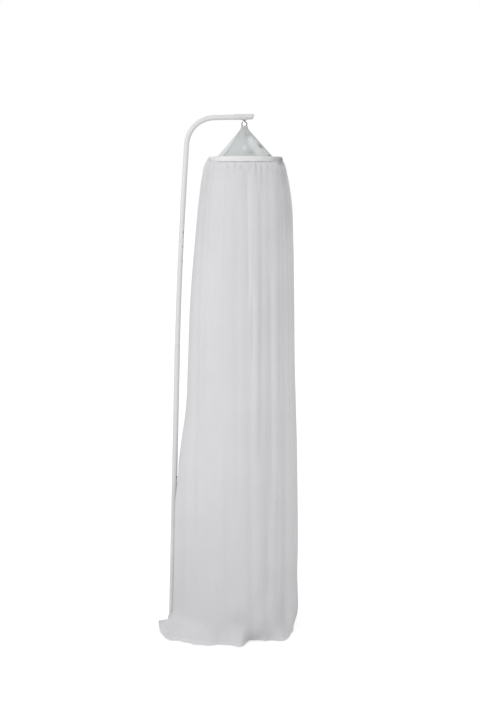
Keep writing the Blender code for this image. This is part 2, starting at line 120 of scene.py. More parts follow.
def makeStudio():
    scene = bpy.context.scene
    scene.view_settings.view_transform = "Standard"
    lens = bpy.data.cameras.new("camera")
    lens.lens = view["lens"]
    lens.sensor_width = view["sensor"]
    lens.shift_y = view["shift"]
    camera = bpy.data.objects.new("camera", lens)
    camera.location = view["place"]
    camera.rotation_euler = (math.radians(90 - view["downTilt"]), 0, 0)
    scene.collection.objects.link(camera)
    scene.camera = camera

    world = bpy.data.worlds.new("studio")
    world.use_nodes = True
    tree = world.node_tree
    tree.nodes.clear()
    seen = addNode(tree, "ShaderNodeLightPath").outputs["Is Camera Ray"]
    strength = spread(tree, seen, 0.0, 1.0, studio["skyLight"], studio["skyShown"])
    sky = addNode(tree, "ShaderNodeBackground", {"Color": (1, 1, 1, 1), "Strength": strength})
    addNode(tree, "ShaderNodeOutputWorld", {"Surface": sky.outputs[0]})
    scene.world = world

    half = studio["floorSize"] / 2
    corners = [(-half, -half, 0), (half, -half, 0), (half, half, 0), (-half, half, 0)]
    ground = bpy.data.meshes.new("floor")
    ground.from_pydata(corners, [], [(0, 1, 2, 3)])
    paper = bpy.data.materials.new("floorPaper")
    paper.use_nodes = True
    shader = paper.node_tree.nodes["Principled BSDF"]
    shader.inputs["Base Color"].default_value = (*studio["floorColour"], 1)
    shader.inputs["Roughness"].default_value = 0.9
    shader.inputs["Emission Color"].default_value = (1, 1, 1, 1)
    path = addNode(paper.node_tree, "ShaderNodeLightPath").outputs
    # The glow leaves out what is seen through the net, so the net doesn't look lit from behind.
    direct = calc(paper.node_tree, "LESS_THAN", path["Transparent Depth"], 0.5)
    shown = calc(paper.node_tree, "MULTIPLY", path["Is Camera Ray"], direct)
    glow = calc(paper.node_tree, "MULTIPLY", shown, studio["floorGlow"])
    paper.node_tree.links.new(glow, shader.inputs["Emission Strength"])
    ground.materials.append(paper)
    floor = bpy.data.objects.new("floor", ground)
    scene.collection.objects.link(floor)

    addLight("keyLight", studio["keyPlace"], studio["keyAim"], studio["keySize"], studio["keyPower"])
    addLight("fillLight", studio["fillPlace"], studio["keyAim"], studio["fillSize"], studio["fillPower"])
    print("studio ready")


makeStudio()


# Shared shader groups

def startGroup(name, inputs, outputs):
    tree = bpy.data.node_groups.new(name, "ShaderNodeTree")
    for label, kind, value in inputs:
        socket = tree.interface.new_socket(label, in_out="INPUT", socket_type=kind)
        if value is not None:
            socket.default_value = value
    for label, kind in outputs:
        tree.interface.new_socket(label, in_out="OUTPUT", socket_type=kind)
    entry = tree.nodes.new("NodeGroupInput")
    leave = tree.nodes.new("NodeGroupOutput")
    return tree, entry, leave


def makeHoneycombNet():
    # Three waves 120 degrees apart add up to round holes in honeycomb order. Threads are what is left.
    inputs = [("Vector", "NodeSocketVector", None), ("Pitch", "NodeSocketFloat", 0.0012)]
    tree, entry, leave = startGroup("honeycombNet", inputs, [("Threads", "NodeSocketFloat")])
    across = addNode(tree, "ShaderNodeSeparateXYZ", {0: entry.outputs["Vector"]})
    turns = calc(tree, "DIVIDE", 2 * math.pi, entry.outputs["Pitch"])
    u = calc(tree, "MULTIPLY", across.outputs[0], turns)
    v = calc(tree, "MULTIPLY", across.outputs[1], turns)
    halfU = calc(tree, "MULTIPLY", u, 0.5)
    slant = calc(tree, "MULTIPLY", v, math.sqrt(3) / 2)
    waves = [
        calc(tree, "COSINE", u),
        calc(tree, "COSINE", calc(tree, "ADD", halfU, slant)),
        calc(tree, "COSINE", calc(tree, "SUBTRACT", halfU, slant)),
    ]
    total = calc(tree, "ADD", calc(tree, "ADD", waves[0], waves[1]), waves[2])
    threads = spread(tree, total, 1.3, -0.2)
    tree.links.new(threads, leave.inputs["Threads"])
    return tree


def makePlainWeave():
    # Warp and weft: each thread is a rounded ridge, and every other crossing goes over or under.
    inputs = [("Vector", "NodeSocketVector", None), ("Pitch", "NodeSocketFloat", 0.0006)]
    tree, entry, leave = startGroup("plainWeave", inputs, [("Height", "NodeSocketFloat")])
    across = addNode(tree, "ShaderNodeSeparateXYZ", {0: entry.outputs["Vector"]})
    turns = calc(tree, "DIVIDE", math.pi, entry.outputs["Pitch"])
    u = calc(tree, "MULTIPLY", across.outputs[0], turns)
    v = calc(tree, "MULTIPLY", across.outputs[1], turns)
    warp = calc(tree, "ABSOLUTE", calc(tree, "SINE", u))
    weft = calc(tree, "ABSOLUTE", calc(tree, "SINE", v))
    over = calc(tree, "MULTIPLY", calc(tree, "COSINE", u), calc(tree, "COSINE", v))
    which = spread(tree, over, -0.3, 0.3)
    first = calc(tree, "MULTIPLY", warp, which)
    second = calc(tree, "MULTIPLY", weft, calc(tree, "SUBTRACT", 1.0, which))
    tree.links.new(calc(tree, "ADD", first, second), leave.inputs["Height"])
    return tree


def makeHandledSurface():
    # Slow cloudiness, fine grain and sparse scuffs of something that has been handled.
    inputs = [("Vector", "NodeSocketVector", None), ("Cloud Scale", "NodeSocketFloat", 6.0),
              ("Grain Scale", "NodeSocketFloat", 900.0), ("Scuff Scale", "NodeSocketFloat", 60.0)]
    outputs = [("Cloud", "NodeSocketFloat"), ("Grain", "NodeSocketFloat"), ("Scuffs", "NodeSocketFloat")]
    tree, entry, leave = startGroup("handledSurface", inputs, outputs)
    place = entry.outputs["Vector"]
    cloud = addNode(tree, "ShaderNodeTexNoise",
                    {"Vector": place, "Scale": entry.outputs["Cloud Scale"], "Detail": 3.0})
    grain = addNode(tree, "ShaderNodeTexNoise",
                    {"Vector": place, "Scale": entry.outputs["Grain Scale"], "Detail": 2.0})
    stretched = addNode(tree, "ShaderNodeMapping", {"Vector": place, "Scale": (1.0, 1.0, 0.25)})
    scuff = addNode(tree, "ShaderNodeTexNoise",
                    {"Vector": stretched.outputs[0], "Scale": entry.outputs["Scuff Scale"], "Detail": 5.0,
                     "Roughness": 0.7})
    tree.links.new(spread(tree, cloud.outputs[0], 0.3, 0.7), leave.inputs["Cloud"])
    tree.links.new(grain.outputs[0], leave.inputs["Grain"])
    tree.links.new(spread(tree, scuff.outputs[0], 0.62, 0.72), leave.inputs["Scuffs"])
    return tree


groups = {
    "honeycombNet": makeHoneycombNet(),
    "plainWeave": makePlainWeave(),
    "handledSurface": makeHandledSurface(),
}


def useGroup(tree, name, inputs):
    made = addNode(tree, "ShaderNodeGroup")
    made.node_tree = groups[name]
    for label, value in inputs.items():
        if isinstance(value, bpy.types.NodeSocket):
            tree.links.new(value, made.inputs[label])
        else:
            made.inputs[label].default_value = value
    return made


def startMaterial(name, **sockets):
    material = bpy.data.materials.new(name)
    material.use_nodes = True
    tree = material.node_tree
    shader = tree.nodes["Principled BSDF"]
    for label, value in sockets.items():
        shader.inputs[label.replace("_", " ")].default_value = value
    return material, tree, shader


def roughen(tree, shader, height, strength, distance):
    inputs = {"Height": height, "Strength": strength, "Distance": distance}
    bump = addNode(tree, "ShaderNodeBump", inputs)
    tree.links.new(bump.outputs[0], shader.inputs["Normal"])


# Stand and fittings: the parts keep their shape and get their finish

paint = {
    "colour": (0.70, 0.70, 0.705, 1),
    "worn": (0.58, 0.58, 0.58, 1),
    "shadedLow": (0.50, 0.495, 0.49, 1),
    "lowShadeHeight": 1.05,  # painted shade: the tubes are painted a little darker below this, for the less light low down
    "lowShadeShare": 0.5,
    "scuffShare": 0.45,
    "roughness": (0.36, 0.50),
}

plastic = {
    "colour": (0.70, 0.70, 0.70, 1),
    "shade": (0.64, 0.64, 0.635, 1),
    "roughness": (0.42, 0.56),
}

steel = {
    "colour": (0.16, 0.16, 0.165, 1),
    "shade": (0.08, 0.08, 0.085, 1),
    "roughness": (0.30, 0.48),
}

sharpEdge = math.radians(38)
weldWithin = 0.00001


def makeWhitePaint():
    material, tree, shader = startMaterial("whitePaint", Coat_Weight=0.15, Coat_Roughness=0.25)
    place = addNode(tree, "ShaderNodeTexCoord").outputs["Object"]
    worn = useGroup(tree, "handledSurface", {"Vector": place, "Cloud Scale": 5.0, "Grain Scale": 1400.0})
    height = addNode(tree, "ShaderNodeSeparateXYZ", {0: place}).outputs[2]
    # Painted shade: the colour goes darker towards the floor, in cloudy patches, for the less light low
    # down.
    low = spread(tree, height, paint["lowShadeHeight"], 0.0)
    lowShade = calc(tree, "MULTIPLY", low, worn.outputs["Cloud"])
    scuffed = calc(tree, "MULTIPLY", worn.outputs["Scuffs"], paint["scuffShare"])
    colour = blendColour(tree, scuffed, paint["colour"], paint["worn"])
    colour = blendColour(tree, calc(tree, "MULTIPLY", lowShade, paint["lowShadeShare"]), colour, paint["shadedLow"])
    tree.links.new(colour, shader.inputs["Base Color"])
    rough = spread(tree, worn.outputs["Cloud"], 0.0, 1.0, *paint["roughness"])
    tree.links.new(rough, shader.inputs["Roughness"])
    roughen(tree, shader, worn.outputs["Grain"], 0.25, 0.0002)
    return material


def makeWhitePlastic():
    material, tree, shader = startMaterial("whitePlastic", IOR=1.46)
    place = addNode(tree, "ShaderNodeTexCoord").outputs["Object"]
    worn = useGroup(tree, "handledSurface", {"Vector": place, "Cloud Scale": 14.0, "Grain Scale": 2200.0})
    colour = blendColour(tree, worn.outputs["Cloud"], plastic["colour"], plastic["shade"])
    tree.links.new(colour, shader.inputs["Base Color"])
    rough = spread(tree, worn.outputs["Grain"], 0.3, 0.7, *plastic["roughness"])
    tree.links.new(rough, shader.inputs["Roughness"])
    roughen(tree, shader, worn.outputs["Grain"], 0.2, 0.0001)
    return material


def makeDullSteel():
    material, tree, shader = startMaterial("dullSteel", Metallic=1.0)
    place = addNode(tree, "ShaderNodeTexCoord").outputs["Object"]
    worn = useGroup(tree, "handledSurface", {"Vector": place, "Cloud Scale": 160.0, "Scuff Scale": 700.0})
    colour = blendColour(tree, worn.outputs["Cloud"], steel["colour"], steel["shade"])
    tree.links.new(colour, shader.inputs["Base Color"])
    rough = spread(tree, worn.outputs["Scuffs"], 0.0, 1.0, *steel["roughness"])
    tree.links.new(rough, shader.inputs["Roughness"])
    roughen(tree, shader, worn.outputs["Grain"], 0.2, 0.0001)
    return material


def dress(names, material):
    # Parts come as loose triangles. Welding them and splitting sharp edges shades round pieces smoothly.
    for name in names:
        part = nodes[name]
        part.data.materials.clear()
        part.data.materials.append(material)
        part.data.shade_smooth()
        weld = part.modifiers.new("Weld", "WELD")
        weld.merge_threshold = weldWithin
        split = part.modifiers.new("Sharp edges", "EDGE_SPLIT")
        split.split_angle = sharpEdge


dress(("base_plate", "base_socket", "lower_tube", "upper_tube"), makeWhitePaint())
dress(("arm_end_sleeve", "hook_saddle", "hoop"), makeWhitePlastic())
dress(("net_hook", "hook_nut", "snap_button"), makeDullSteel())
print("stand and fittings finished")


# Cloth: materials

net = {
    "colour": (0.72, 0.72, 0.735, 1),
    "shade": (0.65, 0.65, 0.67, 1),
    "roofColour": (0.70, 0.725, 0.725, 1),  # the roof's net is a little greener
    "roofShade": (0.63, 0.655, 0.655, 1),
    "deep": (0.12, 0.12, 0.125, 1),  # painted shade: colour the net is painted towards where many layers lie together in their own shade
    "paintedLightColour": (0.97, 0.97, 0.97, 1),  # painted light: colour the net is painted towards where one layer alone lets the light through
    "pitch": 0.0012,
    "thread": 0.97,  # how solid a thread is
    "hole": 0.88,  # how solid a hole is: the yarn's fuzz fills it
}


def makeNet(name, colour, shade):
    # Sheer net. "layers" on the mesh says how many thicknesses lie together; the other mark is painted
    # shade, darker above 0 and painted lighter below 0.
    material, tree, shader = startMaterial(name, Roughness=0.9, Sheen_Weight=0.25, Sheen_Roughness=0.6)
    cloth = addNode(tree, "ShaderNodeUVMap", uv_map="cloth").outputs[0]
    mesh = useGroup(tree, "honeycombNet", {"Vector": cloth, "Pitch": net["pitch"]})
    worn = useGroup(tree, "handledSurface", {"Vector": cloth, "Cloud Scale": 3.5, "Grain Scale": 500.0})
    layers = addNode(tree, "ShaderNodeAttribute", attribute_name="layers").outputs["Fac"]
    single = spread(tree, mesh.outputs["Threads"], 0.0, 1.0, 1 - net["hole"], 1 - net["thread"])
    clear = calc(tree, "POWER", single, layers)
    tree.links.new(calc(tree, "SUBTRACT", 1.0, clear, clamped=True), shader.inputs["Alpha"])
    tint = blendColour(tree, calc(tree, "MULTIPLY", worn.outputs["Cloud"], 0.5), colour, shade)
    paintedShading = addNode(tree, "ShaderNodeAttribute", attribute_name="paintedShading").outputs["Fac"]
    # Painted shade above 0 mixes the colour towards the dark one; painted light below 0 mixes it towards
    # the light one.
    tint = blendColour(tree, calc(tree, "MAXIMUM", paintedShading, 0.0), tint, net["deep"])
    paintedLight = calc(tree, "MULTIPLY", calc(tree, "MINIMUM", paintedShading, 0.0), -1.0)
    tint = blendColour(tree, paintedLight, tint, net["paintedLightColour"])
    tree.links.new(tint, shader.inputs["Base Color"])
    fuzz = calc(tree, "MULTIPLY", worn.outputs["Grain"], 1.5)
    relief = calc(tree, "ADD", mesh.outputs["Threads"], fuzz)
    roughen(tree, shader, relief, 0.35, 0.0004)
    return material


bandCloth = {
    "colour": (0.78, 0.78, 0.78, 1),
    "shade": (0.72, 0.72, 0.725, 1),
    "thread": (0.45, 0.45, 0.46, 1),  # the stitches' own shade
    "threadShare": 0.6,
    "pitch": 0.0006,
    "roughness": (0.78, 0.92),
}

yarn = {
    "colour": (0.74, 0.74, 0.74, 1),
    "shade": (0.62, 0.62, 0.62, 1),
    "roughness": (0.80, 0.95),
}


def makeBandCloth():
    material, tree, shader = startMaterial("bandCloth", Sheen_Weight=0.2, Sheen_Roughness=0.5)
    cloth = addNode(tree, "ShaderNodeUVMap", uv_map="cloth").outputs[0]
    weave = useGroup(tree, "plainWeave", {"Vector": cloth, "Pitch": bandCloth["pitch"]})
    worn = useGroup(tree, "handledSurface", {"Vector": cloth, "Cloud Scale": 25.0, "Grain Scale": 700.0})
    stitched = addNode(tree, "ShaderNodeAttribute", attribute_name="stitch").outputs["Fac"]
    paintedShading = addNode(tree, "ShaderNodeAttribute", attribute_name="paintedShading").outputs["Fac"]
    stitches = calc(tree, "MULTIPLY", stitched, bandCloth["threadShare"])
    colour = blendColour(tree, worn.outputs["Cloud"], bandCloth["colour"], bandCloth["shade"])
    colour = blendColour(tree, stitches, colour, bandCloth["thread"])
    # Painted shade: the mark darkens the band's colour towards the net's dark colour.
    colour = blendColour(tree, paintedShading, colour, net["deep"])
    tree.links.new(colour, shader.inputs["Base Color"])
    rough = spread(tree, worn.outputs["Grain"], 0.3, 0.7, *bandCloth["roughness"])
    tree.links.new(rough, shader.inputs["Roughness"])
    relief = calc(tree, "ADD", weave.outputs["Height"], worn.outputs["Cloud"])
    roughen(tree, shader, relief, 0.4, 0.0003)
    return material


def makeCordYarn():
    material, tree, shader = startMaterial("cordYarn", Sheen_Weight=0.3)
    cloth = addNode(tree, "ShaderNodeUVMap", uv_map="cloth").outputs[0]
    worn = useGroup(tree, "handledSurface", {"Vector": cloth, "Cloud Scale": 300.0, "Grain Scale": 3000.0})
    colour = blendColour(tree, worn.outputs["Cloud"], yarn["colour"], yarn["shade"])
    tree.links.new(colour, shader.inputs["Base Color"])
    rough = spread(tree, worn.outputs["Grain"], 0.3, 0.7, *yarn["roughness"])
    tree.links.new(rough, shader.inputs["Roughness"])
    roughen(tree, shader, worn.outputs["Grain"], 0.4, 0.0002)
    return material


# Cloth: shapes

def ease(value):
    # From 0 to 1, level at both ends.
    part = np.clip(value, 0.0, 1.0)
    return part * part * (3 - 2 * part)


def bell(turn, centre, halfWidth):
    # A soft bump round one direction, in degrees, the short way round.
    return np.exp(-((((turn - centre + 180) % 360 - 180) / halfWidth) ** 2))


def curveThrough(at, stops, values):
    # A cubic through the stops, its slope at each one the mean of the slopes on its two sides.
    stops = np.asarray(stops, float)
    values = np.asarray(values, float)
    if stops[0] > stops[-1]:
        stops, values = stops[::-1], values[::-1]
    slopes = np.gradient(values, stops)
    row = np.clip(np.searchsorted(stops, at, side="right") - 1, 0, len(stops) - 2)
    width = stops[row + 1] - stops[row]
    part = np.clip((at - stops[row]) / width, 0.0, 1.0)
    rise = 3 * part**2 - 2 * part**3
    leaving = part * (1 - part) ** 2 * width
    arriving = part**2 * (part - 1) * width
    start = values[row] * (1 - rise) + slopes[row] * leaving
    return start + values[row + 1] * rise + slopes[row + 1] * arriving


def aroundOutline(turn, table):
    # The closed curve through a table of directions and reaches, level at each row.
    stops = np.array([row[0] for row in table] + [table[0][0] + 360])
    reaches = np.array([row[1] for row in table] + [table[0][1]])
    row = np.searchsorted(stops, turn % 360, side="right") - 1
    part = ease((turn % 360 - stops[row]) / (stops[row + 1] - stops[row]))
    return reaches[row] + (reaches[row + 1] - reaches[row]) * part


def ringPiece(name, points, width, down, marks, material, closed=False):
    # A grid of rows that close on themselves, with its cloth map in metres and its marks on the points.
    # A closed one also joins its last row to its first.
    rows, columns = points.shape[:2]
    index = np.arange(rows * columns).reshape(rows, columns)
    if closed:
        index = np.concatenate((index, index[:1]))
    beside = np.roll(index, -1, axis=1)
    quads = np.stack((index[:-1], index[1:], beside[1:], beside[:-1]), axis=-1).reshape(-1, 4)
    mesh = bpy.data.meshes.new(name)
    mesh.from_pydata(points.reshape(-1, 3).tolist(), [], quads.tolist())
    left = np.broadcast_to(np.arange(columns) / columns * width, (len(index) - 1, columns))
    right = left + width / columns
    top = np.broadcast_to(down[:-1, None], left.shape)
    low = np.broadcast_to(down[1:, None], left.shape)
    pairs = ((left, top), (left, low), (right, low), (right, top))
    corners = [np.stack(pair, axis=-1) for pair in pairs]
    cloth = mesh.uv_layers.new(name="cloth")
    cloth.data.foreach_set("uv", np.stack(corners, axis=2).ravel())
    for label, values in marks.items():
        mark = mesh.attributes.new(label, "FLOAT", "POINT")
        full = np.broadcast_to(values, (rows, columns)).astype(np.float32)
        mark.data.foreach_set("value", full.ravel())
    mesh.materials.append(material)
    mesh.shade_smooth()
    item = bpy.data.objects.new(name, mesh)
    bpy.context.scene.collection.objects.link(item)
    return item


def patchwork(turn, along, table):
    # Sum of soft patches, each with direction, place along the cloth, half width, half length, strength.
    total = 0 * turn * along
    for centre, place, halfWidth, halfLength, strength in table:
        fade = np.exp(-(((along - place) / halfLength) ** 2))
        total = total + strength * bell(turn, centre, halfWidth) * fade
    return total


def onAxis(turn, reach, height):
    angle = np.radians(turn)
    across = canopyX + reach * np.cos(angle)
    return np.stack((across, reach * np.sin(angle), height + 0 * angle), axis=-1)


def clothLength(points):
    # Distance down the cloth at each row, measured along its first column.
    steps = np.linalg.norm(np.diff(points[:, 0], axis=0), axis=1)
    return np.concatenate(([0.0], np.cumsum(steps)))


darkest = 0.9  # most that the painted shade may hide of the cloth's own colour

skirt = {
    "columns": 480,
    "fallRows": 132,
    "footRows": 58,
    "gathers": 38,
    "gatherDepth": 0.0026,
    "gatherLength": (0.035, 0.10),
    "gatherStart": 0.006,  # drop over which a gather comes to its full depth
    "puff": 0.0022,  # fullness just under the band
    "puffStart": 0.012,
    "puffFade": 0.07,
    "tuck": 0.0012,  # how far its top edge goes in under the band
    "tuckDrop": 0.0030,
    "looseFolds": 22,
    "looseDepth": 0.0020,
    "foldStart": 0.05,  # drop over which the folds come to their full depth
    "frontFade": (0.10, 0.14),  # length over which a front fold starts, and ends
    "looseFade": 0.20,
    # where the net rides up over the band: direction, half width, rise
    "shoulders": (
        (194, 20, 0.0140),
        (352, 24, 0.0120),
    ),
    "shoulderFull": 0.014,  # rise that counts as a whole shoulder
    "shoulderDrop": 0.020,  # how far below the band a shoulder starts
    "shoulderPull": 0.0045,  # how far it is drawn in
    "overBand": 0.0012,  # its distance from the band's outside
    # painted shade, and painted light where below 0: direction, drop below the band, half width, half drop,
    # how dark
    "paintedShades": (
        (347, 0.002, 12, 0.014, 0.44),
        (336, 0.004, 11, 0.012, 0.18),
        (334, 0.010, 9, 0.010, 0.26),
        (338, 0.050, 15, 0.045, 0.24),
        (334, 0.150, 14, 0.100, 0.16),
        (338, 0.950, 14, 0.450, -0.20),
        (288, 0.520, 6, 0.450, 0.10),
        (256, 0.450, 12, 0.400, 0.05),
        (262, 0.040, 36, 0.060, 0.08),
        (205, 0.080, 24, 0.160, 0.07),
        (200, 1.660, 14, 0.030, 0.09),
        (334, 1.560, 14, 0.100, -0.12),
        (236, 1.600, 11, 0.035, 0.07),
        (262, 1.560, 15, 0.040, 0.06),
        (300, 1.510, 12, 0.060, -0.05),
        (328, 0.016, 2.2, 0.010, 0.18),
        (303, 0.020, 1.7, 0.012, 0.18),
        (285, 0.018, 1.5, 0.010, 0.16),
        (279, 0.018, 1.3, 0.012, 0.16),
        (264, 0.022, 1.6, 0.012, 0.17),
        (256, 0.018, 1.3, 0.010, 0.14),
        (245, 0.022, 1.7, 0.010, 0.17),
        (207, 0.004, 1.6, 0.003, 0.30),
    ),
    "hemWidth": 0.010,
    "hemLayers": 0.9,  # layers that the hem's fold adds
    "crowdedLayers": 0.5,  # and those of the gathers just under the band
    "crowdedDrop": 0.05,
    # painted shade along the band's lower edge, where the net goes in under it
    "seamPaintedShade": 0.14,
    "seamWidth": 0.0014,
    "lowShade": 0.14,  # painted shade: how much darker the net is painted by the floor
    "softening": 10,  # smoothing passes over the foot: net can't hold a sharp ledge
    "softenBy": 0.6,
    "softenRows": (12, 8),  # rows over which the smoothing comes in above the ankle, and goes by the hem
    "cut": (1.32, 1.70),
    # height, left, right, front, back
    "sections": (
        (1.6310, 0.1295, 0.1295, 0.1295, 0.1295),
        (1.6203, 0.1368, 0.1364, 0.1365, 0.1365),
        (1.5885, 0.1451, 0.1453, 0.1415, 0.1415),
        (1.5029, 0.1578, 0.1605, 0.1498, 0.1498),
        (1.3437, 0.1738, 0.1684, 0.1563, 0.1543),
        (1.1561, 0.1891, 0.1717, 0.1610, 0.1570),
        (0.9588, 0.1974, 0.1746, 0.1617, 0.1587),
        (0.7742, 0.2062, 0.1804, 0.1614, 0.1593),
        (0.6503, 0.2235, 0.1840, 0.1608, 0.1598),
        (0.4736, 0.2448, 0.1868, 0.1604, 0.1614),
        (0.2850, 0.2457, 0.1881, 0.1600, 0.1620),
        (0.1585, 0.2463, 0.1872, 0.1604, 0.1635),
        (0.0790, 0.2467, 0.1901, 0.1617, 0.1648),
    ),
    # height, share of the way to the hem's outline
    "foot": (
        (0.0790, 0.00),
        (0.0560, 0.07),
        (0.0400, 0.24),
        (0.0260, 0.50),
        (0.0140, 0.77),
        (0.0060, 0.94),
        (0.0022, 1.00),
    ),
    "flapTurn": 188,  # the hem's corner that turns up beside the pole
    "flapWidth": 6,
    "flapHeight": 0.028,
    "hemRipple": 0.0016,
    "hemRipples": 17,
    # direction, reach
    "hem": (
        (0, 0.1718),
        (22, 0.1821),
        (46, 0.1965),
        (70, 0.1715),
        (96, 0.1795),
        (121, 0.1950),
        (146, 0.2380),
        (163, 0.2620),
        (178, 0.2404),
        (184, 0.2414),
        (188, 0.3070),
        (194, 0.3045),
        (202, 0.2993),
        (207, 0.2913),
        (212, 0.2625),
        (221, 0.2422),
        (232, 0.2158),
        (243, 0.1851),
        (255, 0.1761),
        (265, 0.1835),
        (277, 0.1360),
        (286, 0.1402),
        (301, 0.1597),
        (315, 0.1926),
        (333, 0.1828),
        (347, 0.1752),
    ),
    # direction at the band, direction at the hem, depth at the band, depth at the hem, half width
    "mainFolds": (
        (8, 10, 0.004, 0.007, 6),
        (37, 33, 0.005, 0.010, 7),
        (62, 60, 0.003, 0.008, 6),
        (88, 91, 0.005, 0.011, 7),
        (117, 114, 0.004, 0.009, 6),
        (144, 147, 0.004, 0.010, 7),
        (167, 165, 0.003, 0.006, 6),
        (207, 210, 0.003, 0.004, 6),
        (232, 229, 0.003, 0.004, 7),
        (251, 250, 0.002, 0.003, 6),
        (271, 280, 0.003, 0.003, 5),
        (302, 299, 0.002, 0.004, 6),
        (322, 325, 0.003, 0.005, 6),
        (346, 343, 0.003, 0.006, 6),
    ),
    # direction where it starts, direction where it ends, from height, to height, depth, half width
    "frontFolds": (
        (206, 208, 1.45, 0.35, 0.0018, 3.0),
        (218, 217, 1.60, 0.55, 0.0022, 3.2),
        (234, 236, 1.30, 0.30, 0.0020, 3.5),
        (246, 243, 1.61, 0.70, 0.0024, 3.0),
        (259, 261, 1.55, 0.45, 0.0020, 3.4),
        (273, 275, 1.64, 1.12, 0.0022, 2.0),
        (279, 280, 1.24, 0.92, 0.0024, 2.4),
        (291, 289, 1.58, 0.60, 0.0018, 3.2),
        (302, 305, 1.30, 0.40, 0.0022, 3.4),
        (317, 315, 1.60, 0.75, 0.0020, 3.2),
        (332, 335, 1.50, 0.50, 0.0024, 3.0),
        (349, 349, 0.32, 0.10, 0.0040, 2.2),
    ),
    # direction, height, depth, half width, half height, drift in degrees for each metre down
    "softDents": (
        (214, 0.160, 0.006, 9, 0.035, 120),
        (236, 0.110, 0.007, 12, 0.030, -160),
        (258, 0.190, 0.005, 10, 0.040, 140),
        (262, 0.075, 0.003, 10, 0.022, 0),
        (288, 0.130, 0.007, 10, 0.035, -150),
        (306, 0.200, 0.005, 9, 0.040, 130),
        (322, 0.100, 0.006, 9, 0.030, 100),
        (243, 0.300, 0.004, 9, 0.060, -80),
        (300, 0.330, 0.003, 8, 0.050, 60),
        (345, 0.170, 0.005, 9, 0.040, -120),
        (20, 0.150, 0.006, 10, 0.035, 120),
        (52, 0.100, 0.006, 9, 0.030, -140),
        (85, 0.180, 0.006, 10, 0.040, 130),
        (118, 0.120, 0.005, 9, 0.030, 110),
        (150, 0.220, 0.004, 8, 0.045, -100),
    ),
}

pole = {
    "slope": 0.0258,  # lower tube's lean, across for each metre up
    "radius": 0.0095,
    "clearance": 0.0035,
    "lipTurn": 188,  # soft edge of the skirt in front of the pole
    "lipWidth": 5,
    "lip": 0.013,
    "lipTop": 0.588,
    "lipFull": 0.421,
    "upperStart": 0.998,
    "upperSlope": 0.0305,
    "upperBow": 0.0285,
}

plate = {"clearance": 0.0028, "corner": 0.085, "margin": 0.016, "run": 0.018, "liftTop": 0.060}


def poleAcross(height):
    # The lower tube is straight, and the upper one bows as the square of the height above the joint.
    above = np.maximum(height - pole["upperStart"], 0.0)
    straight = np.minimum(height, pole["upperStart"]) * pole["slope"]
    return straight + above * pole["upperSlope"] + above**2 * pole["upperBow"]


def sectionReach(turn, height):
    # Four quarter ellipses whose half widths change with height. The pole stops them, and the lip is added.
    stops = [row[0] for row in skirt["sections"]]
    tables = [[row[k] for row in skirt["sections"]] for k in (1, 2, 3, 4)]
    left, right, front, back = (curveThrough(height, stops, table) for table in tables)
    angle = np.radians(turn)
    stop = canopyX - poleAcross(height) - pole["radius"] - pole["clearance"]
    halfX = np.where(np.cos(angle) < 0, np.minimum(left, stop), right)
    halfY = np.where(np.sin(angle) < 0, front, back)
    reach = 1 / np.hypot(np.cos(angle) / halfX, np.sin(angle) / halfY)
    lip = pole["lip"] * ease((pole["lipTop"] - height) / (pole["lipTop"] - pole["lipFull"]))
    return reach + lip * bell(turn, pole["lipTurn"], pole["lipWidth"])


def skirtFolds(turn, height):
    # Troughs: main folds down the whole fall, then shorter ones between two heights, then loose ones.
    top = skirt["sections"][0][0]
    down = (top - height) / top
    depth = 0 * turn * height
    for topTurn, hemTurn, topDepth, hemDepth, halfWidth in skirt["mainFolds"]:
        centre = topTurn + (hemTurn - topTurn) * down
        depth = depth + (topDepth + (hemDepth - topDepth) * down) * bell(turn, centre, halfWidth)
    fadeIn, fadeOut = skirt["frontFade"]
    for startTurn, endTurn, start, end, deep, halfWidth in skirt["frontFolds"]:
        along = (start - height) / (start - end)
        window = ease((start - height) / fadeIn) * ease((height - end) / fadeOut)
        depth = depth + deep * window * bell(turn, startTurn + (endTurn - startTurn) * along, halfWidth)
    draw = np.random.default_rng(11)
    for number in range(skirt["looseFolds"]):
        centre = (number + draw.uniform(-0.3, 0.3)) * 360 / skirt["looseFolds"]
        start = draw.uniform(0.5, 1.65)
        length = draw.uniform(0.35, 1.0)
        drift = draw.uniform(-3, 3)
        deep = skirt["looseDepth"] * draw.uniform(0.4, 1.2)
        halfWidth = draw.uniform(3, 6)
        window = ease((start - height) / skirt["looseFade"])
        window = window * ease((height - start + length) / skirt["looseFade"])
        depth = depth + deep * window * bell(turn, centre + drift * (start - height), halfWidth)
    return depth * ease(down * top / skirt["foldStart"])


def skirtGathers(turn, drop):
    # Short pleats that start at the seam and die away, with the net puffed out between them.
    draw = np.random.default_rng(5)
    puff = ease(drop / skirt["puffStart"]) * np.exp(-drop / skirt["puffFade"])
    depth = -skirt["puff"] * puff + 0 * turn
    for number in range(skirt["gathers"]):
        centre = (number + draw.uniform(-0.32, 0.32)) * 360 / skirt["gathers"]
        length = draw.uniform(*skirt["gatherLength"])
        deep = skirt["gatherDepth"] * draw.uniform(0.45, 1.3)
        halfWidth = 360 / skirt["gathers"] * draw.uniform(0.16, 0.27)
        fade = ease(drop / skirt["gatherStart"]) * np.exp(-((drop / length) ** 2))
        depth = depth + deep * fade * bell(turn, centre, halfWidth)
    return depth


def softDents(turn, height):
    depth = 0 * turn * height
    for centre, middle, deep, halfWidth, halfHeight, drift in skirt["softDents"]:
        leaning = centre + drift * (middle - height)
        fade = np.exp(-(((height - middle) / halfHeight) ** 2))
        depth = depth + deep * fade * bell(turn, leaning, halfWidth)
    return depth


